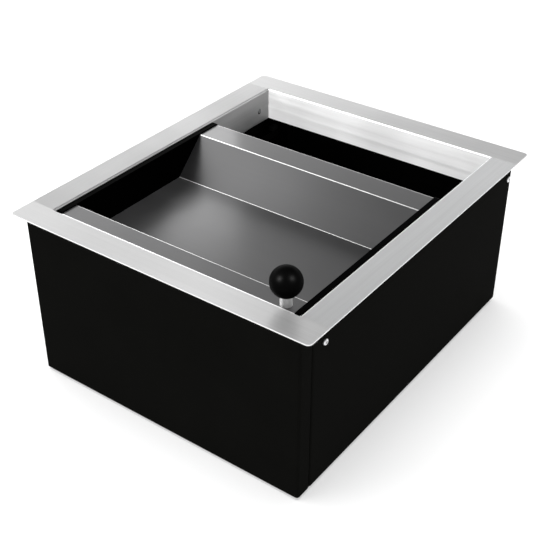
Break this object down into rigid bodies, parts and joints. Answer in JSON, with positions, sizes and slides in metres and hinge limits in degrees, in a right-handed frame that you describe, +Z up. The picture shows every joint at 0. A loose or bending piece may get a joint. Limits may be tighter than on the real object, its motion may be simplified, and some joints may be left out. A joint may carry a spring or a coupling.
{
  "type": "drop-in counter box with sliding tray",
  "caption": "Black steel drop-in box hung from a flanged stainless frame, with a dished stainless tray that slides front to back by a ball knob.",
  "frame": {"origin": "middle of the footprint, on the surface the box stands on", "axes": "+Z up, +Y from the knob end towards the open slot at the back, +X to the right seen from the knob end"},
  "size_m": [0.38, 0.444, 0.245],
  "materials": {
    "brushed_stainless": "brushed along the length of each sheet",
    "black_coat": "fine satin powder coat",
    "black_plastic": "machined polyethylene, low sheen",
    "black_ball": "moulded phenolic, soft gloss",
    "zinc_fastener": "bright zinc plate",
    "polished_post": "turned and polished",
    "black_rubber": "matte rubber"
  },
  "bodies": {
    "housing": {"frame_front_rail": "brushed_stainless", "frame_back_rail": "brushed_stainless", "frame_left_rail": "brushed_stainless", "frame_right_rail": "brushed_stainless", "frame_corner_angles": "brushed_stainless", "frame_corner_rivets": "zinc_fastener", "left_hanger_angle": "brushed_stainless", "right_hanger_angle": "brushed_stainless", "front_panel": "black_coat", "back_panel": "black_coat", "left_panel": "black_coat", "right_panel": "black_coat", "bottom_pan": "black_coat", "seam_rivets": "zinc_fastener", "side_screws": "zinc_fastener", "side_nuts": "zinc_fastener", "left_guide_rail": "black_coat", "right_guide_rail": "black_coat", "left_glide_strip": "black_plastic", "right_glide_strip": "black_plastic", "guide_studs": "zinc_fastener", "guide_nuts": "zinc_fastener", "front_stop_buffers": "black_rubber", "back_stop_buffers": "black_rubber", "buffer_screws": "zinc_fastener"},
    "tray": {"tray_pan": "brushed_stainless", "left_cheek": "black_plastic", "right_cheek": "black_plastic", "left_tray_bracket": "brushed_stainless", "right_tray_bracket": "brushed_stainless", "cheek_screws": "zinc_fastener", "cheek_nuts": "zinc_fastener", "knob_ball": "black_ball", "knob_post": "polished_post", "knob_stud": "zinc_fastener", "knob_washer": "zinc_fastener", "knob_nut": "zinc_fastener"}
  },
  "joints": [
    {"name": "tray_slide", "type": "slide", "parent": "housing", "child": "tray", "axis": [0, 1, 0], "range_m": [0, 0.1137]}
  ]
}
